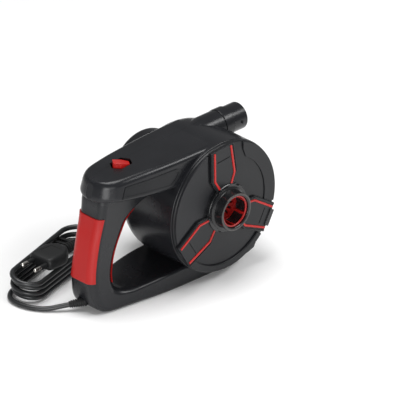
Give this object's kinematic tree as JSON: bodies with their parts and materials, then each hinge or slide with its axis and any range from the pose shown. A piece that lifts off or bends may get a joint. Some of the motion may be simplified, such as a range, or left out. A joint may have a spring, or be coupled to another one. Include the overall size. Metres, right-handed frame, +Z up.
{
  "type": "electric air pump",
  "caption": "Hand-held electric scroll air pump with a round blower housing, a closed-loop handle, a side outlet nozzle and a mains lead.",
  "frame": {"origin": "on the resting face, right below the drum's axis and on the middle plane of the handle", "axes": "+X from the handle to the drum and out of the nozzle, +Y along the drum's axis to the motor cover, with the inlet facing -Y, +Z up"},
  "size_m": [0.2942, 0.1859, 0.1704],
  "materials": {
    "shell_plastic": "fine moulded texture, satin black",
    "cover_plastic": "satin black, slightly smoother than the shells",
    "red_plastic": "semi-gloss red",
    "red_grip": "soft-touch red",
    "grey_plastic": "plain moulded grey",
    "black_rubber": "matt black rubber",
    "cord_jacket": "black flexible jacket",
    "steel": "plain bright steel",
    "copper": "varnished copper wire",
    "brass": "plain brass",
    "carbon": "pressed graphite"
  },
  "bodies": {
    "housing": {"accent_strip_1a": "red_plastic", "accent_strip_1b": "red_plastic", "accent_strip_2a": "red_plastic", "accent_strip_2b": "red_plastic", "accent_strip_3a": "red_plastic", "accent_strip_3b": "red_plastic", "carbon_brush_1": "carbon", "carbon_brush_2": "carbon", "cord_gland": "black_rubber", "cord_hank": "cord_jacket", "cord_lead": "cord_jacket", "cord_tail": "cord_jacket", "cord_tie": "black_rubber", "face_cover": "cover_plastic", "finger_grip": "red_grip", "front_bearing": "brass", "front_end_bell": "steel", "handle_grip": "red_grip", "housing_front": "shell_plastic", "housing_rear": "shell_plastic", "housing_screw_1": "steel", "housing_screw_2": "steel", "housing_screw_3": "steel", "housing_screw_4": "steel", "housing_screw_5": "steel", "inlet_guard": "red_plastic", "motor_can": "steel", "motor_cover": "shell_plastic", "mounting_ring": "black_rubber", "outlet_nozzle": "shell_plastic", "plug_body": "black_rubber", "plug_pin_1": "brass", "plug_pin_2": "brass", "plug_relief": "black_rubber", "rear_bearing": "brass", "rear_end_bell": "grey_plastic", "side_plate": "shell_plastic", "stator": "grey_plastic", "switch_body": "grey_plastic", "volute_casing": "grey_plastic", "volute_lid": "grey_plastic"},
    "rotor": {"motor_shaft": "steel", "impeller": "red_plastic", "armature": "steel", "front_winding": "copper", "rear_winding": "copper", "commutator": "copper", "cooling_fan": "grey_plastic"},
    "rocker": {"rocker_switch": "red_plastic"}
  },
  "joints": [
    {"name": "rotor_spin", "type": "hinge", "parent": "housing", "child": "rotor", "pos_m": [0, 0, 0.0895], "axis": [0, 1, 0], "continuous": true},
    {"name": "rocker_tilt", "type": "hinge", "parent": "housing", "child": "rocker", "pos_m": [-0.109, 0, 0.161], "axis": [0, 1, 0], "range_deg": [-14, 0]}
  ]
}
